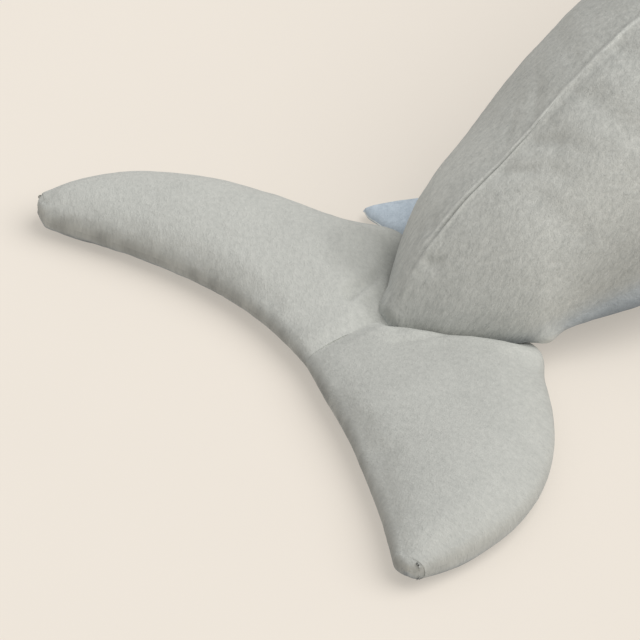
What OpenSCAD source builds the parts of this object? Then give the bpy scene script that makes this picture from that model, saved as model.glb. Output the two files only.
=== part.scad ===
// Plush shark lying on its belly, about one metre long, with a flat two-lobed tail.
// Frame: +X towards the nose, +Y towards the shark's left, +Z up, floor at Z = 0,
// origin on the floor under the middle of the length.
// Positions along the body are given as "s", the distance forward of the fluke apex,
// which is where the back seam runs out between the two fluke lobes.

/* [Body] */
// Distance from the fluke apex to the snout tip
nose_s = 900; // [880:1:920]
// Distance that the fluke tips trail behind the fluke apex
fluke_trail = 86; // [84:1:88]
// Thickness of the plush fabric with its pile
fabric_t = 2; // [1.5:0.5:2.5]
// Clearance between the fabric and the stuffing
stuffing_gap = 0.4; // [0.3:0.1:0.6]

/* [Tail bend] */
// Distance from the fluke apex to the bend axis of the tail
bend_s = 190; // [180:1:200]
// Radius of the rounded face where the tail turns in the torso
bend_r = 96; // [94:1:100]
// Clearance between the tail's rounded face and the torso's hollow one
bend_gap = 3; // [2:0.5:5]

/* [Fins] */
// Height of the fluke's edge seam above the floor
fluke_mid_z = 11; // [10.9:0.1:12]
// Height of the dorsal fin's hinge line above the floor
dorsal_base_z = 220.5; // [220:0.5:224]
// Distance from the fluke apex to the middle of the dorsal fin's root
dorsal_s = 500; // [490:1:510]
// Distance from the fluke apex to the middle of a pectoral fin's root
pectoral_s = 628; // [620:1:636]
// Distance from the middle to a pectoral fin's root
pectoral_y = 114.5; // [114:0.5:120]
// Height of a pectoral fin's root above the floor
pectoral_z = 54; // [52:1:58]
// Droop of a pectoral fin from its root to its tip
pectoral_droop = 15; // [13:1:16]
// Distance from the fluke apex to the middle of the anal fin's root
anal_s = 105; // [104:1:108]
// Height of the folded anal fin's middle above the floor
anal_z = 4.6; // [4.4:0.1:4.8]

/* [Face] */
// Distance from the fluke apex to the eyes
eye_s = 800; // [790:1:810]
// Angle of an eye around the head, from the back seam
eye_angle = 66; // [60:1:72]
// Radius of an eye's dome
eye_r = 9; // [7:0.5:10]
// Radius of an eye's shank
shank_r = 3; // [2.5:0.5:3.5]
// Number of gill stitches on each side
gill_count = 4; // [3:1:5]
// Radius of the embroidery thread lines
thread_r = 0.9; // [0.7:0.1:1.1]

/* [Hidden] */

grey_plush = [0.62, 0.62, 0.60];
blue_plush = [0.60, 0.66, 0.72];
wadding = [0.93, 0.92, 0.90];
black_plastic = [0.03, 0.03, 0.035];
thread_grey = [0.30, 0.31, 0.32];

// Middle of the whole length, which the origin lies under
mid_s = (nose_s - fluke_trail) / 2;

// Body stations: s, half width, ridge height, belly height, height of the widest
// point, height of the side seam, and how peaked the back is (1 is round).
// A belly height under 0 makes a flat patch where the body rests on the floor.
stations = [
    [-1, 3, 13, 7, 10, 9.5, 1.1],
    [16, 25, 42, 5, 10, 9, 1.2],
    [42, 46, 72, 10, 16, 16.5, 1.2],
    [68, 54, 91, 11, 26, 27, 1.2],
    [90, 60, 107, 11, 34, 33.5, 1.2],
    [110, 64, 117, 10.5, 39, 37.5, 1.2],
    [130, 67, 125, 10, 43, 41, 1.2],
    [160, 72, 136, 4, 51, 45.5, 1.18],
    [200, 78, 150, -2, 60, 51, 1.15],
    [300, 95, 183, -6, 78, 62, 1.08],
    [420, 111, 208, -8, 91, 70, 1.02],
    [540, 119, 218, -8, 97, 74, 1],
    [640, 116, 212, -7, 97, 76, 1],
    [720, 104, 197, 2, 96, 80, 1],
    [790, 85, 174, 13, 94, 83, 1],
    [850, 58, 143, 32, 90, 84, 1],
    [885, 31, 116, 53, 87, 84, 1],
    [nose_s, 5, 92, 78, 85, 84.5, 1]
];
// How boxy the underside is (1 is round)
under_pow = 0.72;

// Fins: each row is a station from root to tip, with the rear edge (forward, outward),
// the front edge (forward, outward) and the full thickness.
fluke_lobe = [
    [-39, 4.5, 43, 48.5, 0],
    [-41, 14, 39, 55, 14],
    [-43, 32, 33, 65, 20],
    [-48, 55, 22, 85, 22],
    [-57, 80, 6, 112, 21],
    [-68, 105, -14, 133, 19],
    [-78, 124, -40, 146, 16],
    [-84, 137, -62, 152, 12],
    [-fluke_trail, 146, -76, 153, 7],
    [1 - fluke_trail, 150, -83, 152, 2]
];
fluke_centre = [
    [22, -35, 25, -35, 0],
    [10, -28, 18, -28, 9],
    [-9, -17, 7, -17, 17],
    [-27, -7, -3, -7, 21],
    [-39, 0, -4, 0, 21],
    [-27, 7, -3, 7, 21],
    [-9, 17, 7, 17, 17],
    [10, 28, 18, 28, 9],
    [22, 35, 25, 35, 0]
];
dorsal_fin = [
    [-62, 0, 62, 0, 0],
    [-60, 7, 58, 9, 13],
    [-54, 22, 40, 28, 19],
    [-50, 44, 16, 50, 18],
    [-54, 64, -10, 70, 14],
    [-62, 80, -36, 86, 10],
    [-68, 88, -54, 93, 6],
    [-68, 92, -64, 94, 2]
];
pectoral_fin = [
    [-50, 0, 52, 0, 0],
    [-50, 8, 50, 10, 12],
    [-49, 30, 38, 36, 19],
    [-56, 62, 18, 68, 19],
    [-70, 94, -8, 102, 16],
    [-86, 120, -38, 128, 12],
    [-96, 134, -64, 142, 8],
    [-97, 141, -82, 146, 4],
    [-93, 144, -90, 145, 1.5]
];
anal_fin = [
    [-27, 0, 27, 0, 0],
    [-33, 10, 23, 14, 6],
    [-44, 26, 12, 34, 7.5],
    [-56, 42, -4, 50, 8],
    [-62, 54, -22, 61, 7.5],
    [-64, 64, -42, 70.5, 6],
    [-64, 72, -54, 75.5, 4],
    [-63.5, 77, -61, 78, 1.5]
];

// Numbers of facets
torso_rings = 18;
tail_rings = 13;
back_cols = 7;
belly_cols = 8;
cap_rings = 3;
fin_rows = 14;
fin_cols = 6;
thread_sides = 6;

// ---- Curves ----

function clamp(x, lo, hi) = min(max(x, lo), hi);
function segment(x, k = 0) = k < len(stations) - 2 && x > stations[k + 1][0] ? segment(x, k + 1) : k;
function slope(k, col) =
    let (a = stations[max(k - 1, 0)], b = stations[min(k + 1, len(stations) - 1)])
    (b[col] - a[col]) / (b[0] - a[0]);
// Smooth value of one column of the stations at s
function body_value(s, col) =
    let (k = segment(s), p = stations[k], q = stations[k + 1])
    let (h = q[0] - p[0], t = clamp((s - p[0]) / h, 0, 1), t2 = t * t, t3 = t2 * t)
    (2 * t3 - 3 * t2 + 1) * p[col] + (t3 - 2 * t2 + t) * h * slope(k, col)
    + (3 * t2 - 2 * t3) * q[col] + (t3 - t2) * h * slope(k + 1, col);

// Point of the body surface at s and an angle from the ridge, moved inwards by inset
function body_point(s, angle, inset = 0) =
    let (half = max(body_value(s, 1) - inset, 0.6), wide = body_value(s, 4))
    let (top = max(body_value(s, 2) - inset, wide + 0.6))
    let (low = min(body_value(s, 3) + inset, wide - 0.6))
    let (c = cos(angle), w = sin(angle))
    let (p = c >= 0 ? body_value(s, 6) : under_pow)
    [
        s,
        half * sign(w) * pow(abs(w), p),
        max(wide + (c >= 0 ? top - wide : wide - low) * c, inset)
    ];

// Angle of the side seam at s
function seam_angle(s) =
    let (seam = body_value(s, 5), wide = body_value(s, 4))
    let (span = seam < wide ? wide - body_value(s, 3) : body_value(s, 2) - wide)
    acos((seam - wide) / span);

// Where the line at an angle meets the upright round face of radius r at the tail bend
function bend_cut(angle, r, inset, s = bend_s + 60, pass = 0) =
    pass == 6 ? s :
    let (y = body_point(s, angle, inset)[1])
    bend_cut(angle, r, inset, bend_s + sqrt(max(r * r - y * y, 0)), pass + 1);

function body_normal(s, angle) =
    let (along = body_point(s + 2, angle) - body_point(s - 2, angle))
    let (around = body_point(s, angle + 1) - body_point(s, angle - 1))
    let (n = cross(along, around))
    n / norm(n);

// Moves a point given by s into the part's frame
function place(p) = [p[0] - mid_s, p[1], p[2]];

// Catmull-Rom value of a fin's rows at u from 0 to 1
function row_value(rows, u) =
    let (last = len(rows) - 1, x = u * last, k = clamp(floor(x), 0, last - 1), t = x - k)
    let (p0 = rows[max(k - 1, 0)], p1 = rows[k], p2 = rows[k + 1], p3 = rows[min(k + 2, last)])
    (2 * p1 + (p2 - p0) * t + (2 * p0 - 5 * p1 + 4 * p2 - p3) * t * t
    + (3 * p1 - p0 - 3 * p2 + p3) * t * t * t) / 2;

// Point of a fin in its own plane: u from root to tip, v from rear to front edge,
// side +1 or -1 for its two faces, inset for the inner face of the fabric
function fin_point(rows, u, v, side, inset) =
    let (r = row_value(rows, u), rear = [r[0], r[1]], front = [r[2], r[3]])
    let (chord = max(norm(front - rear), 0.1), cut = min(inset / chord, 0.42))
    let (p = rear + (front - rear) * (cut + (1 - 2 * cut) * v))
    let (half = max(r[4] / 2 - inset, 0))
    [p[0], p[1], side * (0.05 + half * pow(sin(180 * v), 0.8))];

// ---- Meshes ----

// Faces of a grid of rows by cols points that starts at index first
function grid_faces(rows, cols, first, flip) = [
    for (i = [0:rows - 2], j = [0:cols - 2])
    let (a = first + i * cols + j, b = a + 1, c = b + cols, d = a + cols)
    each flip ? [[a, c, b], [a, d, c]] : [[a, b, c], [a, c, d]]
];
// Faces that join two lists of indices edge to edge. Two panels that meet at a seam
// have the same diagonals there if one of them is crossed.
function strip_faces(p, q, crossed = false) = [
    for (k = [0:len(p) - 2])
    each crossed
        ? [[p[k], q[k], p[k + 1]], [q[k], q[k + 1], p[k + 1]]]
        : [[p[k], q[k], q[k + 1]], [p[k], q[k + 1], p[k + 1]]]
];
function flat(rows) = [for (row = rows) each row];

// Closed shell between an outer and an inner grid of the same size
module shell(outer, inner) {
    rows = len(outer);
    cols = len(outer[0]);
    n = rows * cols;
    first_row = [for (j = [0:cols - 1]) j];
    last_row = [for (j = [0:cols - 1]) (rows - 1) * cols + j];
    first_col = [for (i = [0:rows - 1]) i * cols];
    last_col = [for (i = [0:rows - 1]) i * cols + cols - 1];
    polyhedron(
        points = concat(flat(outer), flat(inner)),
        faces = concat(
            grid_faces(rows, cols, 0, false),
            grid_faces(rows, cols, n, true),
            strip_faces(first_row, [for (k = first_row) k + n]),
            strip_faces([for (k = last_row) k + n], last_row),
            strip_faces([for (k = first_col) k + n], first_col, true),
            strip_faces(last_col, [for (k = last_col) k + n])
        ),
        convexity = 6
    );
}

// Closed solid through rings of the same number of points, with its two ends filled
module rings_solid(rings) {
    rows = len(rings);
    cols = len(rings[0]);
    wrapped = [
        for (i = [0:rows - 2], j = [0:cols - 1])
        let (a = i * cols + j, b = i * cols + (j + 1) % cols, c = b + cols, d = a + cols)
        each [[a, b, c], [a, c, d]]
    ];
    first_end = [for (j = [1:cols - 2]) [0, j + 1, j]];
    base = (rows - 1) * cols;
    last_end = [for (j = [1:cols - 2]) [base, base + j, base + j + 1]];
    polyhedron(points = flat(rings), faces = concat(wrapped, first_end, last_end), convexity = 4);
}

// Tube of thread_sides sides along a list of points
module thread(path) {
    n = len(path);
    rings = [
        for (k = [0:n - 1])
        let (d = path[min(k + 1, n - 1)] - path[max(k - 1, 0)], t = d / norm(d))
        let (side = cross(t, [0.31, 0.12, 0.94]), a = side / norm(side), b = cross(t, a))
        [for (i = [0:thread_sides - 1])
            path[k] + thread_r * (cos(i * 360 / thread_sides) * a - sin(i * 360 / thread_sides) * b)]
    ];
    rings_solid(rings);
}

// ---- Body panels ----

// s of ring i of the torso, closer together towards the snout
function torso_s(i, angle, inset) =
    let (start = bend_cut(angle, bend_r + bend_gap, inset), end = nose_s - inset)
    start + (end - start) * sin(90 * i / torso_rings);
// s of ring i of the tail stock, closer together towards the fluke
function tail_s(i, angle, inset) =
    let (start = stations[0][0] + inset, end = bend_cut(angle, bend_r, inset))
    start + (end - start) * (1 - cos(90 * i / tail_rings));
function ring_s(torso, i, angle, inset) = torso ? torso_s(i, angle, inset) : tail_s(i, angle, inset);

// Angle around the body of column j, for the left back, the right back or the belly
function panel_angle(which, s, j) =
    let (seam = seam_angle(s))
    which == "left" ? seam * j / back_cols :
    which == "right" ? seam * (j / back_cols - 1) :
    seam + (360 - 2 * seam) * j / belly_cols;

// One grid point of a panel: the seam angle is read at the ring's s
function panel_point(torso, which, i, j, inset) =
    let (rough = ring_s(torso, i, panel_angle(which, bend_s, j), inset))
    let (s = ring_s(torso, i, panel_angle(which, rough, j), inset))
    place(body_point(s, panel_angle(which, s, j), inset));

module body_panel(torso, which) {
    rows = torso ? torso_rings : tail_rings;
    cols = which == "belly" ? belly_cols : back_cols;
    shell(
        [for (i = [0:rows]) [for (j = [0:cols]) panel_point(torso, which, i, j, 0)]],
        [for (i = [0:rows]) [for (j = [0:cols]) panel_point(torso, which, i, j, fabric_t)]]
    );
}

// Stuffing of the torso or the tail stock, with its round face at the bend
module body_stuffing(torso) {
    inset = fabric_t + stuffing_gap;
    rows = torso ? torso_rings : tail_rings;
    face_r = torso ? bend_r + bend_gap + stuffing_gap : bend_r - stuffing_gap;
    body_rings = [
        for (i = [0:rows])
        [
            for (j = [0:back_cols - 1]) panel_point(torso, "left", i, j, inset),
            for (j = [0:belly_cols - 1]) panel_point(torso, "belly", i, j, inset),
            for (j = [0:back_cols - 1]) panel_point(torso, "right", i, j, inset)
        ]
    ];
    rim = body_rings[torso ? 0 : rows];
    hub_z = body_value(bend_s + face_r, 4);
    cap = [
        for (c = [1:cap_rings])
        let (f = c == cap_rings ? 0.08 : 1 - c / cap_rings)
        [for (p = rim)
            let (y = p[1] * f, z = hub_z + (p[2] - hub_z) * f)
            place([bend_s + sqrt(face_r * face_r - y * y), y, z])]
    ];
    rings_solid(torso ? concat([for (c = [cap_rings - 1:-1:0]) cap[c]], body_rings) : concat(body_rings, cap));
}

// ---- Fin panels ----

// Places a fin's own plane, with its rows' forward along X and outward along Y
module fluke_place(left) {
    translate([-mid_s, 0, fluke_mid_z]) mirror([0, left ? 0 : 1, 0]) children();
}
module dorsal_place() {
    translate([dorsal_s - mid_s, 0, dorsal_base_z]) rotate([90, 0, 0]) children();
}
module pectoral_place(left) {
    mirror([0, left ? 0 : 1, 0])
        translate([pectoral_s - mid_s, pectoral_y, pectoral_z]) rotate([-pectoral_droop, 0, 0]) children();
}
module anal_place() {
    translate([anal_s - mid_s, 3, anal_z]) children();
}

// u of row i of a fin: a face inside the fabric stops short of the root and the tip
function fin_u(i, inset) = let (near = inset > 0 ? 0.02 : 0) near + (1 - 2 * near) * i / fin_rows;

module fin_panel(rows, side, thickness = fabric_t) {
    function grid(inset) = [
        for (i = [0:fin_rows])
        [for (j = [0:fin_cols])
            fin_point(rows, fin_u(i, inset), side > 0 ? 1 - j / fin_cols : j / fin_cols, side, inset)]
    ];
    shell(grid(0), grid(thickness));
}

// The stuffing leaves out as many rows at the root and at the tip as skip says
module fin_stuffing(rows, thickness = fabric_t, skip = 2) {
    inset = thickness + stuffing_gap;
    rings_solid([
        for (i = [skip:fin_rows - skip])
        let (u = fin_u(i, inset))
        concat(
            [for (j = [0:fin_cols]) fin_point(rows, u, 1 - j / fin_cols, 1, inset)],
            [for (j = [0:fin_cols]) fin_point(rows, u, j / fin_cols, -1, inset)]
        )
    ]);
}

// ---- Torso ----

// Turns +Z onto the outward normal of the body at the left or right eye
module at_eye(left) {
    angle = left ? eye_angle : -eye_angle;
    n = body_normal(eye_s, angle);
    translate(place(body_point(eye_s, angle)))
        rotate([0, acos(n[2]), atan2(n[1], n[0])])
        children();
}
module shank_hole(left) {
    at_eye(left) translate([0, 0, -8]) cylinder(r = shank_r + 0.2, h = 16, $fn = 24);
}

module back_panel_left() {
    color(grey_plush)
    difference() {
        body_panel(true, "left");
        shank_hole(true);
    }
}
module back_panel_right() {
    color(grey_plush)
    difference() {
        body_panel(true, "right");
        shank_hole(false);
    }
}
module belly_panel() {
    color(blue_plush) body_panel(true, "belly");
}
module torso_stuffing() {
    color(wadding)
    difference() {
        body_stuffing(true);
        for (left = [true, false]) at_eye(left) translate([0, 0, -20]) cylinder(r = eye_r + 1, h = 24, $fn = 24);
    }
}

// Domed eye with a flat back and a shank that goes through the fabric
module eye(left) {
    dome_h = eye_r * 0.62;
    shank_l = 14;
    color(black_plastic)
    at_eye(left)
    translate([0, 0, 0.4]) {
        intersection() {
            translate([0, 0, dome_h - eye_r * eye_r / dome_h / 2 - dome_h / 2])
                sphere(r = (eye_r * eye_r / dome_h + dome_h) / 2, $fn = 48);
            cylinder(r = eye_r, h = dome_h, $fn = 48);
        }
        translate([0, 0, -shank_l]) cylinder(r = shank_r, h = shank_l + 0.1, $fn = 24);
    }
}
// Locking washer pressed on the shank behind the fabric
module eye_washer(left) {
    washer_t = 2;
    color(wadding)
    at_eye(left)
    translate([0, 0, -fabric_t - 1.2 - washer_t])
    difference() {
        cylinder(r = eye_r - 1, h = washer_t, $fn = 48);
        translate([0, 0, -1]) cylinder(r = shank_r + 0.05, h = washer_t + 2, $fn = 24);
    }
}
module eye_left() { eye(true); }
module eye_right() { eye(false); }
module eye_washer_left() { eye_washer(true); }
module eye_washer_right() { eye_washer(false); }

// Point just proud of the fabric, for the middle of a thread
function on_fabric(s, angle) = place(body_point(s, angle) + (thread_r + 0.25) * body_normal(s, angle));

// Curved gill lines in satin stitch behind the head
module gill_stitches(left) {
    gill_pitch = 15;
    gill_s = 690;
    points = 9;
    color(thread_grey)
    for (g = [0:gill_count - 1])
        thread([
            for (k = [0:points - 1])
            let (t = k / (points - 1), angle = 56 + (40 - 3 * g) * t)
            on_fabric(gill_s + g * gill_pitch - 8 * sin(180 * t), left ? angle : -angle)
        ]);
}
module gill_stitches_left() { gill_stitches(true); }
module gill_stitches_right() { gill_stitches(false); }

// Wide curved mouth line on the underside of the snout
module mouth_stitching() {
    points = 23;
    color(thread_grey)
    thread([
        for (k = [0:points - 1])
        let (t = 2 * k / (points - 1) - 1)
        on_fabric(858 - 62 * t * t, 180 + 70 * t)
    ]);
}

// Hand stitches that close the stuffing opening in the left side seam
module closing_stitches() {
    stitch_count = 9;
    stitch_pitch = 11;
    half_span = 1.7;
    color(thread_grey)
    for (k = [0:stitch_count - 1])
        thread([
            for (t = [-1:0.5:1])
            let (s = 330 + k * stitch_pitch + 2 * t)
            on_fabric(s, seam_angle(s) + half_span * t)
        ]);
}

// ---- Dorsal fin ----

module dorsal_fin_panel_left() { color(grey_plush) dorsal_place() fin_panel(dorsal_fin, -1); }
module dorsal_fin_panel_right() { color(grey_plush) dorsal_place() fin_panel(dorsal_fin, 1); }
module dorsal_fin_stuffing() { color(wadding) dorsal_place() fin_stuffing(dorsal_fin); }

// ---- Pectoral fins ----

module pectoral_left_top_panel() { color(grey_plush) pectoral_place(true) fin_panel(pectoral_fin, 1); }
module pectoral_left_under_panel() { color(blue_plush) pectoral_place(true) fin_panel(pectoral_fin, -1); }
module pectoral_left_stuffing() { color(wadding) pectoral_place(true) fin_stuffing(pectoral_fin); }
module pectoral_right_top_panel() { color(grey_plush) pectoral_place(false) fin_panel(pectoral_fin, 1); }
module pectoral_right_under_panel() { color(blue_plush) pectoral_place(false) fin_panel(pectoral_fin, -1); }
module pectoral_right_stuffing() { color(wadding) pectoral_place(false) fin_stuffing(pectoral_fin); }

// ---- Tail stock ----

module tail_back_panel_left() { color(grey_plush) body_panel(false, "left"); }
module tail_back_panel_right() { color(grey_plush) body_panel(false, "right"); }
module tail_belly_panel() { color(blue_plush) body_panel(false, "belly"); }
module tail_stuffing() { color(wadding) body_stuffing(false); }

module fluke_centre_top_panel() { color(grey_plush) fluke_place(true) fin_panel(fluke_centre, 1); }
module fluke_centre_under_panel() { color(blue_plush) fluke_place(true) fin_panel(fluke_centre, -1); }
module fluke_centre_stuffing() { color(wadding) fluke_place(true) fin_stuffing(fluke_centre, fabric_t, 3); }

// ---- Fluke lobes ----

module fluke_left_top_panel() { color(grey_plush) fluke_place(true) fin_panel(fluke_lobe, 1); }
module fluke_left_under_panel() { color(blue_plush) fluke_place(true) fin_panel(fluke_lobe, -1); }
module fluke_left_stuffing() { color(wadding) fluke_place(true) fin_stuffing(fluke_lobe); }
module fluke_right_top_panel() { color(grey_plush) fluke_place(false) fin_panel(fluke_lobe, 1); }
module fluke_right_under_panel() { color(blue_plush) fluke_place(false) fin_panel(fluke_lobe, -1); }
module fluke_right_stuffing() { color(wadding) fluke_place(false) fin_stuffing(fluke_lobe); }

// ---- Anal fin ----

// Thinner fabric of the small fin
anal_fabric_t = 1.2;
module anal_fin_outer_panel() { color(blue_plush) anal_place() fin_panel(anal_fin, 1, anal_fabric_t); }
module anal_fin_inner_panel() { color(blue_plush) anal_place() fin_panel(anal_fin, -1, anal_fabric_t); }
module anal_fin_wadding() { color(wadding) anal_place() fin_stuffing(anal_fin, anal_fabric_t); }

back_panel_left();
back_panel_right();
belly_panel();
torso_stuffing();
eye_left();
eye_right();
eye_washer_left();
eye_washer_right();
gill_stitches_left();
gill_stitches_right();
mouth_stitching();
closing_stitches();
dorsal_fin_panel_left();
dorsal_fin_panel_right();
dorsal_fin_stuffing();
pectoral_left_top_panel();
pectoral_left_under_panel();
pectoral_left_stuffing();
pectoral_right_top_panel();
pectoral_right_under_panel();
pectoral_right_stuffing();
tail_back_panel_left();
tail_back_panel_right();
tail_belly_panel();
tail_stuffing();
fluke_centre_top_panel();
fluke_centre_under_panel();
fluke_centre_stuffing();
fluke_left_top_panel();
fluke_left_under_panel();
fluke_left_stuffing();
fluke_right_top_panel();
fluke_right_under_panel();
fluke_right_stuffing();
anal_fin_outer_panel();
anal_fin_inner_panel();
anal_fin_wadding();
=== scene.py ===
"""Looks of the plush shark: sewn plush panels over stuffing, glossy eyes and embroidery.

Lengths in the tables are millimetres. A place along the body is "s", the distance
forward of the fluke apex, where the back seam ends between the two lobes.
"""

import math

import bpy
import numpy as np
from mathutils import Matrix, Vector


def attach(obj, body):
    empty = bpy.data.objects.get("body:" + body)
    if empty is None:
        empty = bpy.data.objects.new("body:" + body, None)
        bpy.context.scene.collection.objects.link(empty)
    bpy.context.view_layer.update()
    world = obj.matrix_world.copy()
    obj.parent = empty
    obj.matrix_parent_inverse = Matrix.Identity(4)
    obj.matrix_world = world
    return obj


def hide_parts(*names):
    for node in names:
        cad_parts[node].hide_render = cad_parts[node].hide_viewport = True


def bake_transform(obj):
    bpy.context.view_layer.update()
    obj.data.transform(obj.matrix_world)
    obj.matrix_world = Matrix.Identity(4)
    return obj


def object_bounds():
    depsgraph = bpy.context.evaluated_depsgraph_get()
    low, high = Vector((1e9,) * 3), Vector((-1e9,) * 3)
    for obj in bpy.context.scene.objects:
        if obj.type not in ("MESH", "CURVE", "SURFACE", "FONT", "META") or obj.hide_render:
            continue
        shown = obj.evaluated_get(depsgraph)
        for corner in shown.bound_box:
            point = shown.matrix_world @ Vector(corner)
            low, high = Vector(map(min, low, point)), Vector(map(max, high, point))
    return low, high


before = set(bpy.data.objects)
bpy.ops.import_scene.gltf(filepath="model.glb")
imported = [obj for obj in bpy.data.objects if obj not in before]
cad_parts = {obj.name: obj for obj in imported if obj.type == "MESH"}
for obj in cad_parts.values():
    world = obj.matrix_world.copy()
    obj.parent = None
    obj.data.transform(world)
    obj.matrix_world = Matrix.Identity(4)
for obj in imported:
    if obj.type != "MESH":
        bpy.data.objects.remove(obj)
cad_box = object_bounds()

MM = 0.001
FLUKE_TRAIL = 86.0
APEX_X = cad_box[0].x + FLUKE_TRAIL * MM
FLUKE_MID_Z = 11.0
FLOOR_GAP = 0.3
FABRIC_T = 1.8

# ---- numbers of the body

# s, half width, heights of ridge, belly, widest point and side seam, how peaked the back is
STATIONS = np.array([
    [-1, 3, 13, 7, 10, 9.5, 1.1],
    [16, 25, 42, 5, 10, 9, 1.2],
    [42, 46, 72, 10, 16, 16.5, 1.2],
    [68, 54, 91, 11, 26, 27, 1.2],
    [90, 60, 107, 11, 34, 33.5, 1.2],
    [110, 64, 117, 10.5, 39, 37.5, 1.2],
    [130, 67, 125, 10, 43, 41, 1.2],
    [160, 72, 136, 4, 51, 45.5, 1.18],
    [200, 78, 150, -2, 60, 51, 1.15],
    [300, 95, 183, -6, 78, 62, 1.08],
    [420, 111, 208, -8, 91, 70, 1.02],
    [540, 119, 218, -8, 97, 74, 1],
    [640, 116, 212, -7, 97, 76, 1],
    [720, 104, 197, 2, 96, 80, 1],
    [790, 85, 174, 13, 94, 83, 1],
    [850, 58, 143, 32, 90, 84, 1],
    [885, 31, 116, 53, 87, 84, 1],
    [900, 5, 92, 78, 85, 84.5, 1],
])
UNDER_POW = 0.72
TAIL_END_S, SNOUT_S = -1, 900
EYE_S, EYE_ANGLE, EYE_R = 800.0, 66.0, 9.0

# Fins: rear edge (forward, outward), front edge (forward, outward), full thickness
DORSAL = np.array([
    [-64, -6, 64, -6, 12],
    [-61, 3, 60, 4, 14],
    [-54, 22, 40, 28, 19],
    [-50, 44, 16, 50, 18],
    [-54, 64, -10, 70, 14],
    [-62, 80, -36, 86, 10.5],
    [-68, 88, -54, 93, 7],
    [-68, 92, -63, 94, 2.5],
], float)
PECTORAL = np.array([
    [-52, -8, 54, -22, 12],
    [-50, 3, 51, 0, 13],
    [-49, 30, 38, 36, 19],
    [-56, 62, 18, 68, 19],
    [-70, 94, -8, 102, 16.5],
    [-86, 120, -38, 128, 13],
    [-96, 134, -64, 142, 9],
    [-98, 141, -81, 146, 5],
    [-95, 144, -88, 146, 2],
], float)
ANAL = np.array([
    [-25, -8, 30, -8, 5],
    [-31, 4, 26, 6, 5.5],
    [-44, 24, 13, 32, 7.5],
    [-57, 42, -4, 50, 8],
    [-65, 55, -22, 60, 7.5],
    [-67, 64, -42, 68, 6],
    [-68, 70, -55, 73, 4],
    [-67, 75, -65, 76, 1.5],
], float)


# ---- noise and curves

def lattice(ix, iy, iz, seed):
    """Repeatable value from 0 to 1 for each lattice corner."""
    with np.errstate(over="ignore"):
        h = (ix.astype(np.uint32) * np.uint32(374761393)
             + iy.astype(np.uint32) * np.uint32(668265263)
             + iz.astype(np.uint32) * np.uint32(2246822519)
             + np.uint32(seed * 3266489917 % 4294967296))
        h = (h ^ (h >> np.uint32(13))) * np.uint32(1274126177)
        h = (h ^ (h >> np.uint32(16))) * np.uint32(2654435761)
        h = h ^ (h >> np.uint32(15))
    return h.astype(float) / 4294967295.0


def noise(p, cell, seed=0):
    """Smooth noise from -1 to 1 at points (..., 3), with features about cell across."""
    q = np.asarray(p, float) / np.asarray(cell, float)
    base = np.floor(q)
    f = q - base
    f = f * f * f * (f * (f * 6 - 15) + 10)
    total = 0.0
    for corner in np.ndindex(2, 2, 2):
        share = np.prod(np.where(corner, f, 1 - f), axis=-1)
        total = total + share * lattice(*np.moveaxis(base.astype(np.int64) + corner, -1, 0), seed)
    return total * 2 - 1


def noise2(a, b, cell_a, cell_b, seed=0):
    """Noise over two coordinates, each with its own feature size."""
    a, b = np.broadcast_arrays(np.asarray(a, float), np.asarray(b, float))
    return noise(np.stack([a, b, np.full(a.shape, 0.37)], -1), (cell_a, cell_b, 1.0), seed)


def noise1(a, cell, seed=0):
    """Noise along one coordinate."""
    return noise2(a, 0 * a, cell, 1.0, seed)


def smooth(x, lo, hi):
    """0 below lo, 1 above hi, with a soft step between them."""
    t = np.clip((np.asarray(x, float) - lo) / (hi - lo), 0, 1)
    return t * t * (3 - 2 * t)


def bell(x, width):
    """1 at x = 0, falling off to both sides over about width."""
    return np.exp(-(x / width) ** 2)


def body_value(s, col):
    """Smooth value of one column of the stations at s."""
    xs, ys = STATIONS[:, 0], STATIONS[:, col]
    n = len(xs)
    lo, hi = np.maximum(np.arange(n) - 1, 0), np.minimum(np.arange(n) + 1, n - 1)
    slopes = (ys[hi] - ys[lo]) / (xs[hi] - xs[lo])
    k = np.clip(np.searchsorted(xs, s, side="left") - 1, 0, n - 2)
    h = xs[k + 1] - xs[k]
    t = np.clip((s - xs[k]) / h, 0, 1)
    t2, t3 = t * t, t * t * t
    return ((2 * t3 - 3 * t2 + 1) * ys[k] + (t3 - 2 * t2 + t) * h * slopes[k]
            + (3 * t2 - 2 * t3) * ys[k + 1] + (t3 - t2) * h * slopes[k + 1])


def body_point(s, angle):
    """Body surface in millimetres at s and an angle in degrees from the ridge, +Y side positive."""
    half, top, low = body_value(s, 1), body_value(s, 2), body_value(s, 3)
    wide = body_value(s, 4)
    c, w = np.cos(np.radians(angle)), np.sin(np.radians(angle))
    p = np.where(c >= 0, body_value(s, 6), UNDER_POW)
    y = half * np.sign(w) * np.abs(w) ** p
    z = np.maximum(wide + np.where(c >= 0, top - wide, wide - low) * c, 0.0)
    return np.stack([s + 0 * y, y, z], -1)


def seam_angle(s):
    """Angle of the side seam from the ridge, in degrees."""
    seam, wide = body_value(s, 5), body_value(s, 4)
    span = np.where(seam < wide, wide - body_value(s, 3), body_value(s, 2) - wide)
    return np.degrees(np.arccos((seam - wide) / span))


def body_normal(s, angle):
    """Outward direction of the body surface."""
    ds = 1.5
    ahead, behind = np.clip(s + ds, TAIL_END_S, SNOUT_S), np.clip(s - ds, TAIL_END_S, SNOUT_S)
    along = body_point(ahead, angle) - body_point(behind, angle)
    around = body_point(s, angle + 1.0) - body_point(s, angle - 1.0)
    n = np.cross(along, around)
    return n / np.maximum(np.linalg.norm(n, axis=-1, keepdims=True), 1e-9)


def to_world(p):
    """Millimetres from the fluke apex to metres in the frame."""
    out = np.asarray(p, float) * MM
    out[..., 0] += APEX_X
    return out


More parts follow.
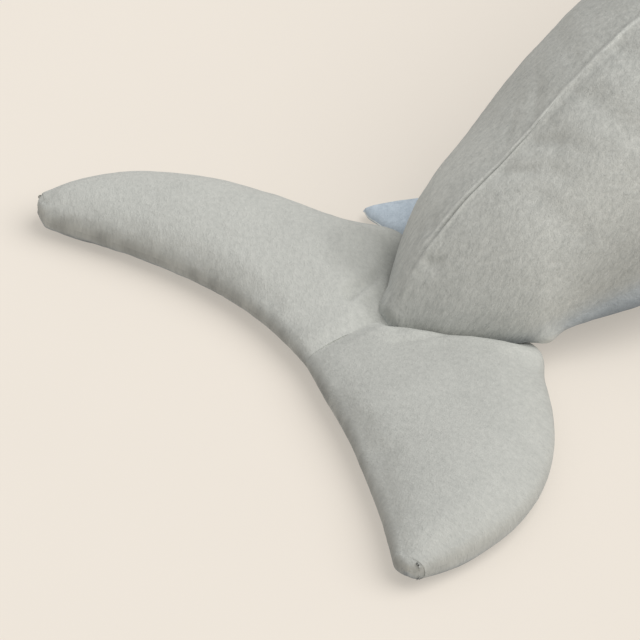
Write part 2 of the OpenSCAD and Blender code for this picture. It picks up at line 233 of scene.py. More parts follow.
def row_value(rows, u):
    """Catmull-Rom value of a fin's rows at u from 0 to 1."""
    last = len(rows) - 1
    x = np.clip(np.asarray(u, float), 0, 1) * last
    k = np.clip(np.floor(x).astype(int), 0, last - 1)
    t = (x - k)[..., None]
    p0, p1 = rows[np.maximum(k - 1, 0)], rows[k]
    p2, p3 = rows[k + 1], rows[np.minimum(k + 2, last)]
    return (2 * p1 + (p2 - p0) * t + (2 * p0 - 5 * p1 + 4 * p2 - p3) * t * t
            + (3 * p1 - p0 - 3 * p2 + p3) * t ** 3) / 2


def bezier(points, t):
    """Point of the curve that a few control points pull into shape."""
    points = np.asarray(points, float)
    while len(points) > 1:
        points = points[:-1] * (1 - t) + points[1:] * t
    return points[0]


# Fluke lobes, in millimetres from the apex
LOBE_THICK = 22.5
LOBE_TIP_RADIUS = 11
# Front edge of a lobe's root, hidden under the body, up to the corner where it comes out
ROOT_START, ROOT_BEND = (9, 0), (15, 15)
# Directions in which the round tip starts on the rear edge, starts on the front edge, and points
TIP_REAR, TIP_FRONT, TIP_MIDDLE = 205, 93, 149
# How far round the tip its rows lie, from the edges' ends to the middle
TIP_SHARES = (0.25, 0.48, 0.66, 0.8)
ROOT_ROWS, BLADE_ROWS = 3, 8
# Share of the rear edge that lies beside the root
ROOT_SHARE = 0.25


def lobe_rows(rear, corner, front, tip):
    """Rows of a fluke lobe from two curved edges and a round tip. rear and front hold control
    points, corner is where the front edge leaves the body's end, and tip is the tip's centre."""
    def on_tip(degrees):
        turn = math.radians(degrees)
        return np.array(tip) + LOBE_TIP_RADIUS * np.array([math.cos(turn), math.sin(turn)])

    rear, front = [*rear, on_tip(TIP_REAR)], [corner, *front, on_tip(TIP_FRONT)]
    edges = []
    for k in range(ROOT_ROWS):
        share = k / ROOT_ROWS
        edges.append((bezier(rear, ROOT_SHARE * share), bezier([ROOT_START, ROOT_BEND, corner], share)))
    for k in range(BLADE_ROWS):
        share = 1 - (1 - k / (BLADE_ROWS - 1)) ** 1.25
        edges.append((bezier(rear, ROOT_SHARE + (1 - ROOT_SHARE) * share), bezier(front, share)))
    for share in TIP_SHARES:
        edges.append((on_tip(TIP_REAR + (TIP_MIDDLE - TIP_REAR) * share),
                      on_tip(TIP_FRONT + (TIP_MIDDLE - TIP_FRONT) * share)))
    rows = []
    for back, ahead in edges:
        by_width = math.tanh((math.dist(back, ahead) + 2) / 31)
        at_root = 0.78 + 0.22 * float(smooth(ahead[1], -5, 40))
        rows.append([*back, *ahead, LOBE_THICK * by_width * at_root])
    return np.array(rows)


LOBE_FAR = lobe_rows([(-44, 0), (-38, 50), (-58, 97)], (39, 46), [(8, 82), (-2, 154)], (-75, 147))
LOBE_NEAR = lobe_rows([(-44, 0), (-54, 45), (-68, 88)], (45, 46), [(31, 84), (8, 150)], (-74, 132))


# ---- meshes

def add_object(name, data):
    obj = bpy.data.objects.new(name, data)
    bpy.context.scene.collection.objects.link(obj)
    return obj


def make_object(name, verts, faces, material, attributes=None, rim=None):
    """Smooth mesh with named point attributes; rim lists points whose edges stay sharp."""
    mesh = bpy.data.meshes.new(name)
    mesh.from_pydata(np.asarray(verts, float).tolist(), [], [list(map(int, f)) for f in faces])
    mesh.polygons.foreach_set("use_smooth", np.ones(len(mesh.polygons), bool))
    for key, values in (attributes or {}).items():
        values = np.asarray(values, np.float32)
        if values.ndim == 2:
            a = mesh.attributes.new(key, "FLOAT_VECTOR", "POINT")
            a.data.foreach_set("vector", values.ravel())
        else:
            a = mesh.attributes.new(key, "FLOAT", "POINT")
            a.data.foreach_set("value", values)
    mesh.materials.append(material)
    mesh.update()
    if rim is not None:
        on_rim = np.zeros(len(verts), bool)
        on_rim[rim] = True
        ends = np.zeros(2 * len(mesh.edges), np.int32)
        mesh.edges.foreach_get("vertices", ends)
        mesh.edges.foreach_set("use_edge_sharp", on_rim[ends.reshape(-1, 2)].all(1))
    return add_object(name, mesh)


def grid_faces(rows, cols, first=0, flip=False):
    """Quads of a rows x cols grid of points that starts at point number first."""
    a = (first + np.arange(rows - 1)[:, None] * cols + np.arange(cols - 1)[None, :]).ravel()
    quads = np.stack([a, a + 1, a + 1 + cols, a + cols], -1)
    return quads[:, ::-1] if flip else quads


def fabric_shell(name, outer, inner, material, cloth, tone, other):
    """Closed sheet of fabric between an outer and an inner grid, in millimetres from the apex.
    The grids run so that rows x columns gives outward faces."""
    rows, cols = outer.shape[:2]
    n = rows * cols
    ring = np.concatenate([
        np.arange(cols), np.arange(1, rows) * cols + cols - 1,
        (rows - 1) * cols + np.arange(cols - 2, -1, -1), np.arange(rows - 2, 0, -1) * cols,
    ])
    nxt = np.roll(ring, -1)
    rim = np.stack([ring, ring + n, nxt + n, nxt], -1)
    faces = np.concatenate([grid_faces(rows, cols), grid_faces(rows, cols, n, True), rim])
    verts = np.concatenate([outer.reshape(-1, 3), inner.reshape(-1, 3)])
    cloth3 = np.zeros((n, 3))
    cloth3[:, :2] = cloth.reshape(-1, 2) * MM
    t, o = tone.ravel(), other.ravel()
    return make_object(name, to_world(verts), faces, material,
                       {"cloth": np.concatenate([cloth3, cloth3]), "tone": np.concatenate([t, t]),
                        "other": np.concatenate([o, o])},
                       rim=np.concatenate([ring, ring + n]))


def arc_from_start(p):
    """Distance along the columns of a grid from its first column."""
    d = np.linalg.norm(np.diff(p, axis=1), axis=-1)
    return np.concatenate([np.zeros((len(p), 1)), np.cumsum(d, axis=1)], 1)


def spaced(count, near_start, near_end, finest=0.22, reach=0.09):
    """count+1 values from 0 to 1, closer together at the ends asked for."""
    x = (np.arange(count) + 0.5) / count
    step = np.ones(count)
    if near_start:
        step *= finest + (1 - finest) * smooth(x, 0, reach * 2.4)
    if near_end:
        step *= finest + (1 - finest) * smooth(1 - x, 0, reach * 2.4)
    out = np.concatenate([[0], np.cumsum(step)])
    return out / out[-1]


# ---- materials

def node(tree, kind, **values):
    """Shader node with the given inputs or settings."""
    n = tree.nodes.new(kind)
    for key, value in values.items():
        if key in n.inputs:
            n.inputs[key].default_value = value
        else:
            setattr(n, key, value)
    return n


def cloth_noise(tree, source, scale, detail, rough, stretch=(1, 1, 1), move=0.0, warp=0.0):
    """Noise texture over the given coordinates, stretched and moved."""
    mapping = node(tree, "ShaderNodeMapping")
    mapping.inputs["Scale"].default_value = stretch
    mapping.inputs["Location"].default_value = (move, move * 1.7, move * 0.6)
    tree.links.new(source, mapping.inputs["Vector"])
    tex = node(tree, "ShaderNodeTexNoise", Scale=scale, Detail=detail, Roughness=rough, Distortion=warp)
    tree.links.new(mapping.outputs["Vector"], tex.inputs["Vector"])
    return tex.outputs["Fac"]


def math_node(tree, operation, a, b=None, c=None, clamp=False):
    """Result of a maths node; each value is a number or a socket."""
    n = tree.nodes.new("ShaderNodeMath")
    n.operation = operation
    n.use_clamp = clamp
    for socket, value in zip(n.inputs, (a, b, c)):
        if value is None:
            continue
        if isinstance(value, (int, float)):
            socket.default_value = value
        else:
            tree.links.new(value, socket)
    return n.outputs[0]


def new_material(name, **shader_values):
    """Material with one Principled shader, its node tree and that shader."""
    mat = bpy.data.materials.new(name)
    mat.use_nodes = True
    tree = mat.node_tree
    tree.nodes.clear()
    out = node(tree, "ShaderNodeOutputMaterial")
    shader = node(tree, "ShaderNodeBsdfPrincipled", **shader_values)
    tree.links.new(shader.outputs[0], out.inputs["Surface"])
    return mat, tree, shader


def colour_ramp(tree, fac, colours, ends=(0, 1)):
    """Colour that goes from the first to the second as fac goes from end to end."""
    ramp = node(tree, "ShaderNodeValToRGB")
    for element, colour, at in zip(ramp.color_ramp.elements, colours, ends):
        element.color = (*colour, 1)
        element.position = at
    tree.links.new(fac, ramp.inputs["Fac"])
    return ramp.outputs["Color"]


def add_bump(tree, shader, height, strength, distance):
    n = node(tree, "ShaderNodeBump", Strength=strength, Distance=distance)
    tree.links.new(height, n.inputs["Height"])
    tree.links.new(n.outputs["Normal"], shader.inputs["Normal"])


def plush_material(name, colours, other_colours, seed, contrast=1.0):
    """Short-pile plush with patches of brushed nap. Along a seam it takes in some of the other
    panel's colour."""
    mat, tree, shader = new_material(name, **{
        "Roughness": 0.92, "Specular IOR Level": 0.12, "Sheen Weight": 0.14,
        "Sheen Roughness": 0.55, "Sheen Tint": (0.92, 0.95, 0.98, 1)})
    cloth = node(tree, "ShaderNodeAttribute", attribute_name="cloth").outputs["Vector"]
    tone = node(tree, "ShaderNodeAttribute", attribute_name="tone").outputs["Fac"]

    broad = cloth_noise(tree, cloth, 11, 2, 0.5, move=seed)
    brushed = cloth_noise(tree, cloth, 46, 3, 0.55, (1, 1.3, 1), seed + 3, warp=0.6)
    streak = cloth_noise(tree, cloth, 150, 3, 0.6, (0.75, 1.3, 1), seed + 5, warp=0.4)
    mottle = cloth_noise(tree, cloth, 400, 3, 0.65, (1, 1.1, 1), seed + 7)
    pile = cloth_noise(tree, cloth, 1250, 2, 0.6, (1, 1, 1), seed + 9)

    parts = ((broad, 0.36), (brushed, 0.40), (streak, 0.40), (mottle, 1.15), (pile, 0.55))
    mix = -0.5 * sum(weight for _, weight in parts)
    for value, weight in parts:
        mix = math_node(tree, "MULTIPLY_ADD", value, weight, mix)
    mix = math_node(tree, "MULTIPLY_ADD", mix, 1.15 * contrast, 0.5, clamp=True)
    blend = node(tree, "ShaderNodeMix", data_type="RGBA")
    other = node(tree, "ShaderNodeAttribute", attribute_name="other").outputs["Fac"]
    tree.links.new(other, blend.inputs["Factor"])
    for socket, pair in (("A", colours), ("B", other_colours)):
        tree.links.new(colour_ramp(tree, mix, pair), blend.inputs[socket])
    # the tone attribute multiplies in painted shade and painted highlights
    shade = node(tree, "ShaderNodeMix", data_type="RGBA", blend_type="MULTIPLY")
    shade.inputs["Factor"].default_value = 1.0
    tree.links.new(blend.outputs["Result"], shade.inputs["A"])
    tone_rgb = node(tree, "ShaderNodeCombineColor")
    for k in range(3):
        tree.links.new(tone, tone_rgb.inputs[k])
    tree.links.new(tone_rgb.outputs[0], shade.inputs["B"])
    tree.links.new(shade.outputs["Result"], shader.inputs["Base Color"])

    height = math_node(tree, "MULTIPLY", mottle, 0.9)
    height = math_node(tree, "MULTIPLY_ADD", pile, 0.45, height)
    height = math_node(tree, "MULTIPLY_ADD", streak, 0.45, height)
    add_bump(tree, shader, height, 0.55, 0.0011)
    return mat


def simple_material(name, low, high, scale, roughness, bump=0.0, distance=0.0002,
                    stretch=(1, 1, 1), coat=0.0, specular=0.5, sheen=0.0, glow=None):
    """Material with a fine variation of colour and relief in object space."""
    mat, tree, shader = new_material(name, **{
        "Roughness": roughness, "Specular IOR Level": specular, "Coat Weight": coat,
        "Coat Roughness": 0.04, "Sheen Weight": sheen})
    if glow:
        shader.inputs["Emission Color"].default_value = (*glow[0], 1)
        shader.inputs["Emission Strength"].default_value = glow[1]
    where = node(tree, "ShaderNodeTexCoord").outputs["Object"]
    fac = cloth_noise(tree, where, scale, 4, 0.6, stretch)
    tree.links.new(colour_ramp(tree, fac, (low, high), (0.3, 0.7)), shader.inputs["Base Color"])
    if bump:
        add_bump(tree, shader, fac, bump, distance)
    return mat


GREY_TONES = ((0.410, 0.420, 0.397), (0.610, 0.617, 0.580))
BLUE_TONES = ((0.300, 0.352, 0.402), (0.440, 0.497, 0.552))
GREY = plush_material("grey_plush_pile", GREY_TONES, BLUE_TONES, 1.0, contrast=1.22)
GREY_SMOOTH = plush_material("grey_plush_fluke", GREY_TONES, BLUE_TONES, 2.0, contrast=0.72)
BLUE = plush_material("blue_plush_pile", BLUE_TONES, GREY_TONES, 4.0)
THREAD = simple_material("embroidery_floss", (0.055, 0.058, 0.062), (0.12, 0.125, 0.13), 2600, 0.55,
                         bump=0.5, stretch=(1, 1, 3), specular=0.35, sheen=0.3)
EYE = simple_material("glossy_black_plastic", (0.004, 0.004, 0.005), (0.011, 0.010, 0.012), 160, 0.16,
                      bump=0.02, coat=0.8, specular=0.55)
WASHER = simple_material("white_washer_plastic", (0.66, 0.66, 0.64), (0.78, 0.78, 0.76), 420, 0.5,
                         bump=0.15, specular=0.4)
FLOOR = simple_material("pale_floor", (0.470, 0.435, 0.391), (0.485, 0.449, 0.404), 3.0, 0.9,
                        bump=0.05, distance=0.001, specular=0.1, glow=((0.868, 0.806, 0.722), 0.43))


# ---- body

# Rings of the body grid: from s, to s, number of rings; closest where the photo looks
RING_SPANS = [(TAIL_END_S, 24, 25), (24, 262, 115), (262, 300, 12), (300, 780, 111), (780, 860, 35),
              (860, 888, 23), (888, SNOUT_S, 15)]
RING_SETS = [np.linspace(start, end, count, endpoint=False) for start, end, count in RING_SPANS]
S_ROWS = np.concatenate([*RING_SETS, [SNOUT_S]])
# Extra rings that close the snout and the tail end: (s, share of the ring's size)
NOSE_RINGS = [(900.7, 0.78), (901.2, 0.5), (901.45, 0.2), (901.5, 0.001)]
TAIL_RINGS = [(-1.8, 0.02), (-1.7, 0.6)]


# The smile, from one end to the other
along_smile = np.linspace(-1, 1, 161)
MOUTH_S, MOUTH_A = 858 - 62 * along_smile * along_smile, 180 + 70 * along_smile
MOUTH_POINTS = body_point(MOUTH_S, MOUTH_A)
EYES = [body_point(np.array(EYE_S), np.array(a)) for a in (EYE_ANGLE, -EYE_ANGLE)]
# Puffed corners beside the lobes, and the puffed place at the tail's end
CORNERS = [np.array([50.0, -46.0, 17.0]), np.array([49.0, 45.0, 17.0])]
REAR_PUFF = np.array([5.5, 10.0, 13.5])


def seam_relief(d, along, seed, depth, lip, lip_at=2.7, lip_w=1.7):
    """Height of the fabric beside a seam: a narrow groove between two uneven puffed lips."""
    uneven = 1 + 0.45 * noise1(along, 9.0, seed) + 0.3 * noise1(along, 3.6, seed + 1)
    groove = -depth * bell(d, 0.8) * (1 + 0.35 * noise1(along, 6.0, seed + 2))
    lips = lip * uneven * bell(d - lip_at, lip_w)
    puckers = 0.34 * np.exp(-d / 11.0) * smooth(d, 0.5, 3) * noise2(along, d, 4.6, 22.0, seed + 3)
    return groove + lips + puckers


# Soft folds that run down from the back seam: from (s, distance from the seam) to the same,
# depth, half width; a negative depth is a raised stretch between two folds
FOLDS = [
    (18, 5, 20, 9, 1.5, 3.0), (54, 6, 62, 17, 1.3, 2.9), (61, 15, 71, 30, 0.8, 4.5),
    (60, 28, 68, 55, 0.8, 6.5), (61, 10, 66, 34, -0.6, 4.5), (68, 6, 76, 17, 1.3, 2.7),
    (75, 15, 90, 38, 0.8, 4.5), (82, 8, 88, 34, -0.6, 5), (90, 4, 96, 16, 0.7, 4),
    (95, 15, 106, 48, 1.0, 6), (104, 10, 112, 40, -0.5, 6), (118, 5, 127, 52, 1.1, 7),
    (148, 8, 160, 60, 1.2, 8), (186, 8, 196, 66, 1.5, 10), (228, 8, 236, 60, 1.2, 11),
    (276, 10, 284, 64, 1.1, 13),
]
# How far the far flank stands out from the even body: s, millimetres
FAR_TRIM = [
    (10, 0), (30, -1.3), (46, -2.8), (62, -3.3), (78, -3.2), (96, -2), (112, -0.3), (128, 1.7),
    (155, 2), (205, 1), (260, 0),
]
# How far the ridge stands out from the even body: s, millimetres
RIDGE_TRIM = [
    (20, 0), (32, -1.5), (42, -4), (52, -5.8), (68, -5.8), (82, -4.5), (96, -3.6), (110, -2),
    (124, -0.5), (140, 0),
]
FAR_TRIM_ANGLE, FAR_TRIM_WIDTH, RIDGE_TRIM_WIDTH = 48, 34, 27


def stroke(s, d, s0, d0, s1, d1, width):
    """1 along a line on the cloth, falling off to its sides and past its ends."""
    step = np.array([s1 - s0, d1 - d0], float)
    t = np.clip(((s - s0) * step[0] + (d - d0) * step[1]) / (step @ step), 0, 1)
    return bell(np.hypot(s - s0 - t * step[0], d - d0 - t * step[1]), width)


def ridge_seam(s, angle, from_ridge):
    """Relief and tone of the back seam: two lips at the tail's end, then one raised crest. The tone holds
    painted shade in the groove and left of the crest, and a painted highlight along the lips and the crest.
    """
    on = smooth(s, 2, 30) * (1 - smooth(s, 885, SNOUT_S))
    right = np.where(angle < 0, 1.0, 0.0)
    raised = smooth(s, 50, 95)
    lip = (0.75 + 0.3 * right) * (1 - 0.9 * raised)
    relief = on * seam_relief(from_ridge, s, 21, 0.75 * (1 - raised), lip, 1.7, 1.25)
    relief += on * raised * 0.7 * bell(from_ridge, 1.7) * (1 + 0.4 * noise1(s, 5, 22))
    relief -= on * raised * 0.35 * bell(from_ridge - 4, 2) * (1 + 0.6 * noise1(s, 6, 25))
    relief += (1 - smooth(s, 6, 34)) * smooth(s, -1, 3) * 3.0 * bell(from_ridge, 10)
    # painted shade in the groove and left of the crest, painted highlight on the lips and the crest
    dark = bell(from_ridge + raised * (1.6 - 4.2 * right), 0.6) * (0.8 + 0.7 * noise1(s, 7, 24))
    light = bell(from_ridge - 1.5 * (1 - raised) - 0.2, 0.9) * (0.9 + 0.7 * noise1(s, 6, 23))
    left_shade = np.clip(0.2 + 1.2 * noise1(s, 4, 27), 0, 1) * bell(from_ridge - 2.6, 0.9)
    tone = 1 - 0.20 * on * (1 - raised) * dark
    tone *= 1 + (0.15 + 0.11 * raised) * on * light
    tone *= 1 - 0.10 * on * raised * (1 - right) * left_shade
    return relief, tone


def flank_folds(p, s, angle, from_ridge):
    """Relief of the fine wrinkles and of the soft folds on both flanks of the tail."""
    near = smooth(-angle, 18, 45) * (1 - smooth(-angle, 110, 140))
    far = smooth(angle, 18, 45) * (1 - smooth(angle, 110, 140))
    span = smooth(s, 22, 50) * (1 - smooth(s, 200, 290))
    drift = s + 0.10 * np.abs(angle) + 6 * noise(p, 60, 16)
    wrinkles = noise2(drift, angle, 8.5, 34, 17) + 0.5 * noise2(drift, angle, 4.5, 20, 18)
    relief = 0.22 * near * span * wrinkles
    relief += 0.5 * far * span * noise2(drift, angle, 11, 30, 19)
    side_share = np.where(angle < 0, 1.0, 0.45)
    wander = s + 1.5 * noise(p, 24, 26) + np.where(angle < 0, 0, -7)
    for s0, d0, s1, d1, depth, width in FOLDS:
        relief -= depth * side_share * stroke(wander, from_ridge, s0, d0, s1, d1, 0.8 * width)
    return relief


def tail_shape(p, s, angle):
    """Relief of the tail's larger unevenness."""
    # the belly hangs lower on the right
    sag = smooth(s, 38, 98) * (1 - smooth(s, 125, 195))
    relief = 4.8 * sag * smooth(-angle, 84, 116) * (1 - smooth(-angle, 138, 172))
    relief += np.interp(s, *np.transpose(FAR_TRIM)) * bell(angle - FAR_TRIM_ANGLE, FAR_TRIM_WIDTH)
    relief += np.interp(s, *np.transpose(RIDGE_TRIM)) * bell(angle, RIDGE_TRIM_WIDTH)
    # rounded end beside the apex: fuller on the far side, then tucked in
    relief += 3.2 * bell(np.linalg.norm(p - REAR_PUFF, axis=-1), 7.5)
    relief -= 2.5 * (1 - smooth(s, 3, 10)) * (1 - smooth(p[..., 2], 8, 12.5)) * smooth(angle, 20, 60)
    for corner in CORNERS:
        relief += 3.3 * bell(np.linalg.norm(p - corner, axis=-1), 5.6)
    return relief


def tail_painted_light(p, s, angle):
    """Painted light of the tail: painted shade where it turns to the floor and in the crease over the fluke,
    painted highlights on the puffed corners, and the far side painted lighter near the end.
    """
    fade = 1 - smooth(s, 150, 330)
    # the far side painted lighter near the end of the tail
    tone = 1 + 0.09 * smooth(angle, 12, 40) * (1 - smooth(s, 40, 90))
    # painted shade where the flank turns under, and deeper painted shade on the belly band below it
    tone *= 1 - 0.19 * smooth(s, 46, 78) * fade * smooth(np.abs(angle), 52, 82)
    tone *= 1 - 0.46 * smooth(s, 44, 60) * fade * smooth(np.abs(angle), 96, 126)
    # painted highlight on each puffed corner, with a ring of painted shade round it
    for corner in CORNERS:
        d = np.linalg.norm(p - corner, axis=-1)
        tone *= 1 + 0.17 * bell(d, 4.5) - 0.08 * bell(d - 8, 2.5)
    # painted shade in the crease where the body sits on the fluke
    crease_z = 13 + 0.07 * s
    over_fluke = (1 - smooth(s, 40, 47)) * smooth(s, 3, 12)
    tone *= 1 - 0.40 * (1 - smooth(p[..., 2], crease_z - 1, crease_z + 5)) * over_fluke
    return tone


def body_relief(p, s, angle, from_ridge, from_side):
    """Displacement along the normal, in millimetres, and a colour tone for each point, which carries painted
    shade and painted highlights.
    """
    lumps = 1.15 * noise(p, 85, 11) + 0.38 * noise(p, 30, 12) + 0.2 * noise(p, 11, 13)
    weave = 0.10 * noise(p, 3.2, 14)
    at_ridge, tone = ridge_seam(s, angle, from_ridge)
    relief = lumps + weave + at_ridge
    side_on = smooth(s, 110, 190) * (1 - smooth(s, 880, 898))
    relief += side_on * seam_relief(from_side, s, 31, 0.5, 0.35)
    # painted shade in the side seam's groove
    tone *= 1 - 0.07 * side_on * bell(from_side, 1.2)
    relief += flank_folds(p, s, angle, from_ridge) + tail_shape(p, s, angle)
    tone *= tail_painted_light(p, s, angle)
    for eye in EYES:
        d = np.linalg.norm(p - eye, axis=-1)
        relief -= lumps * (1 - smooth(d, EYE_R + 1, 22))
        relief += 0.75 * bell(d - EYE_R - 1.4, 1.5) - 0.35 * (1 - smooth(d, 7.5, 9.2))
        # painted shade in the crevice round the eye
        tone *= 1 - 0.18 * bell(d - EYE_R, 1.0)
    front = s > 760
    if front.any():
        d = np.full(s.shape, 99.0)
        d[front] = np.min(np.linalg.norm(p[front][:, None, :] - MOUTH_POINTS[None, ::2], axis=-1), axis=1)
        relief += 0.6 * bell(d - 3.4, 1.8) - 0.9 * bell(d, 1.5)
        # painted shade in the mouth's groove
        tone *= 1 - 0.2 * bell(d, 1.2)
    # the snout keeps the size of the CAD
    relief *= 1 - 0.8 * smooth(s, 880, SNOUT_S)
    return relief, tone


def body_grid(which, count):
    """Outer and inner grids, cloth coordinates and tone of one body panel."""
    s = S_ROWS[:, None]
    seam = seam_angle(s)
    t = spaced(count, True, True)[None, :]
    if which == "left":
        angle = seam * t
    elif which == "right":
        angle = seam * (t - 1)
    else:
        angle = seam + (360 - 2 * seam) * t
    s = np.broadcast_to(s, angle.shape)
    p = body_point(s, angle)
    n = body_normal(s, angle)
    arc = arc_from_start(p)
    total = arc[:, -1:]
    big = np.full(arc.shape, 999.0)
    if which == "left":
        from_ridge, from_side = arc, total - arc
    elif which == "right":
        from_ridge, from_side = total - arc, arc
    else:
        from_ridge, from_side = big, np.minimum(arc, total - arc)
    # the colours of back and belly run into each other
    height = np.where(which == "belly", -1, 1) * from_side
    blue = smooth(-height, -9, 11)
    blue = blue * (1 - bell(np.min([np.linalg.norm(p - c, axis=-1) for c in CORNERS], axis=0), 8))
    other = 1 - blue if which == "belly" else blue
    signed = np.where(angle > 180, angle - 360, angle)
    relief, tone = body_relief(p, s, signed, from_ridge, from_side)
    outer = p + n * relief[..., None]
    inner = p + n * (relief - FABRIC_T)[..., None]
    cloth = np.stack([s, {"left": arc, "right": arc - total, "belly": arc - total / 2}[which]], -1)

    def ring(grid, at, size, keep):
        # the same middle for all three panels, so that they meet in one point
        row = S_ROWS[keep]
        middle = np.array([0, 0, 0.5 * (body_value(row, 2) + body_value(row, 3))])
        new = middle + (grid[keep] - middle) * size
        new[:, 0] = at
        return new

    def closed(grid, pull):
        tail = [ring(grid, at - pull, size, 0) for at, size in TAIL_RINGS]
        nose = [ring(grid, at + pull, size, -1) for at, size in NOSE_RINGS]
        return np.concatenate([np.stack(tail), grid, np.stack(nose)])

    outer, inner = closed(outer, 0.0), closed(inner, -1.2)
    pad = ((len(TAIL_RINGS), len(NOSE_RINGS)), (0, 0))
    tone = np.pad(tone, pad, mode="edge")
    other = np.pad(other, pad, mode="edge")
    cloth = np.pad(cloth, pad + ((0, 0),), mode="edge")
    outer[..., 2] = np.maximum(outer[..., 2], FLOOR_GAP)
    inner[..., 2] = np.maximum(inner[..., 2], FLOOR_GAP + FABRIC_T)
    return outer, inner, cloth, tone, other


BODY = [
    ("plush_back_left", "left", 112, GREY, "grey_plush",
     ("back_panel_left", "tail_back_panel_left", "torso_stuffing")),
    ("plush_back_right", "right", 112, GREY, "grey_plush",
     ("back_panel_right", "tail_back_panel_right", "tail_stuffing")),
    ("plush_belly", "belly", 84, BLUE, "blue_plush", ("belly_panel", "tail_belly_panel")),
]
for name, which, count, material, slot, nodes in BODY:
    outer, inner, cloth, tone, other = body_grid(which, count)
    piece = fabric_shell(name, outer, inner, material, cloth, tone, other)
    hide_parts(*nodes)
    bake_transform(piece)


# ---- fins

# The pillows are simulated ten times too large, where the cloth settles well
SIM_SCALE = 10 * MM
SIM_FRAMES = 20
PILLOW_CLOTH = {
    "quality": 8, "mass": 0.3, "tension_stiffness": 40, "compression_stiffness": 25,
    "shear_stiffness": 15, "bending_stiffness": 0.4, "use_pressure": True,
    "uniform_pressure_force": 4, "vertex_group_mass": "held"}


def inflate(count_u, count_v, face_height, hold, cap):
    """Blows up a pillow of two panels with Blender's cloth. Returns how far each grid point
    of its upper and lower faces moved, in millimetres, at most cap."""
    u = np.linspace(0, 1, count_u + 1)
    v = np.linspace(0, 1, count_v + 1)
    grids = [face_height(u[:, None], v[None, :], side) for side in (1, -1)]
    n = (count_u + 1) * (count_v + 1)
    top = np.arange(n).reshape(count_u + 1, count_v + 1)
    low = top + n
    verts = np.concatenate([g.reshape(-1, 3) for g in grids])
    top_faces = grid_faces(count_u + 1, count_v + 1)
    low_faces = grid_faces(count_u + 1, count_v + 1, n, True)
    # the two faces share the points of their outline
    merge = np.arange(2 * n)
    for k in (0, -1):
        for upper, lower in ((top[:, k], low[:, k]), (top[k, :], low[k, :])):
            merge[lower] = upper
            verts[upper] = (verts[upper] + verts[lower]) / 2
    used, packed = np.unique(merge, return_inverse=True)
    packed = packed.ravel()
    faces = packed[np.concatenate([top_faces, low_faces])]
    start = verts[used]
    mesh = bpy.data.meshes.new("pillow")
    mesh.from_pydata((start * SIM_SCALE).tolist(), [], faces.tolist())
    obj = add_object("pillow", mesh)
    group = obj.vertex_groups.new(name="held")
    for i in np.nonzero(hold(start))[0]:
        group.add([int(i)], 1.0, "REPLACE")
    cloth = obj.modifiers.new("cloth", "CLOTH")
    settings = cloth.settings
    for key, value in PILLOW_CLOTH.items():
        setattr(settings, key, value)
    settings.effector_weights.gravity = 0
    cloth.collision_settings.use_collision = False
    scene = bpy.context.scene
    scene.frame_start, scene.frame_end = 1, 24
    for frame_number in range(1, SIM_FRAMES + 1):
        scene.frame_set(frame_number)
    done = obj.evaluated_get(bpy.context.evaluated_depsgraph_get())
    co = np.zeros(len(start) * 3)
    done.data.vertices.foreach_get("co", co)
    moved = co.reshape(-1, 3) / SIM_SCALE - start
    scene.frame_set(1)
    bpy.data.objects.remove(obj)
    bpy.data.meshes.remove(mesh)
    size = np.linalg.norm(moved, axis=-1, keepdims=True)
    moved = moved * np.minimum(1, cap / np.maximum(size, 1e-9))
    full = moved[packed]
    return full[:n].reshape(grids[0].shape), full[n:].reshape(grids[0].shape)


def sample_grid(grid, u, v):
    """Bilinear value of a (rows, cols, 3) grid at u and v from 0 to 1."""
    rows, cols = grid.shape[:2]
    x, y = np.broadcast_arrays(np.clip(u, 0, 1) * (rows - 1), np.clip(v, 0, 1) * (cols - 1))
    i = np.clip(np.floor(x).astype(int), 0, rows - 2)
    j = np.clip(np.floor(y).astype(int), 0, cols - 2)
    a, b = (x - i)[..., None], (y - j)[..., None]
    return ((1 - a) * (1 - b) * grid[i, j] + a * (1 - b) * grid[i + 1, j]
            + (1 - a) * b * grid[i, j + 1] + a * b * grid[i + 1, j + 1])


def fin_surface(rows, u, v, side, plump, shape=None):
    """Point of a fin in its own plane: forward, outward, height."""
    r = row_value(rows, np.broadcast_to(u, np.broadcast(u, v).shape))
    vv = np.broadcast_to(v, r.shape[:-1])
    xy = r[..., 0:2] + (r[..., 2:4] - r[..., 0:2]) * vv[..., None]
    uu = np.broadcast_to(u, vv.shape)
    h = 0.5 * np.maximum(r[..., 4], 0.6) * np.sin(np.pi * np.clip(vv, 0, 1)) ** plump[0 if side > 0 else 1]
    h = h * np.sqrt(np.clip(1 - uu ** 24, 0, 1))
    if shape is not None:
        h = h * shape(xy, side)
    return np.concatenate([xy, (side * h)[..., None]], -1)


def fin_relief(p, side, from_edge, along, seed, lumps, pucker, groove):
    """Lumps of a fin's face and the puckers and groove along its edge seam, in millimetres."""
    flat = np.stack([p[..., 0], p[..., 1], np.full(from_edge.shape, 40.0 * side)], -1)
    uneven = lumps * noise(flat, 34, seed) + 0.45 * lumps * noise(flat, 13, seed + 1)
    relief = smooth(from_edge, 0, 7) * uneven
    relief += 0.08 * noise(flat, 3.0, seed + 2)
    waves = noise2(along, from_edge, 4.3, 16, seed + 3)
    waves += 0.5 * noise2(along, from_edge, 2.3, 9, seed + 4)
    relief += pucker * waves * np.exp(-from_edge / 7) * smooth(from_edge, 0, 2.2)
    return relief + 0.35 * bell(from_edge - 3.4, 2.0) - groove * bell(from_edge, 1.0)


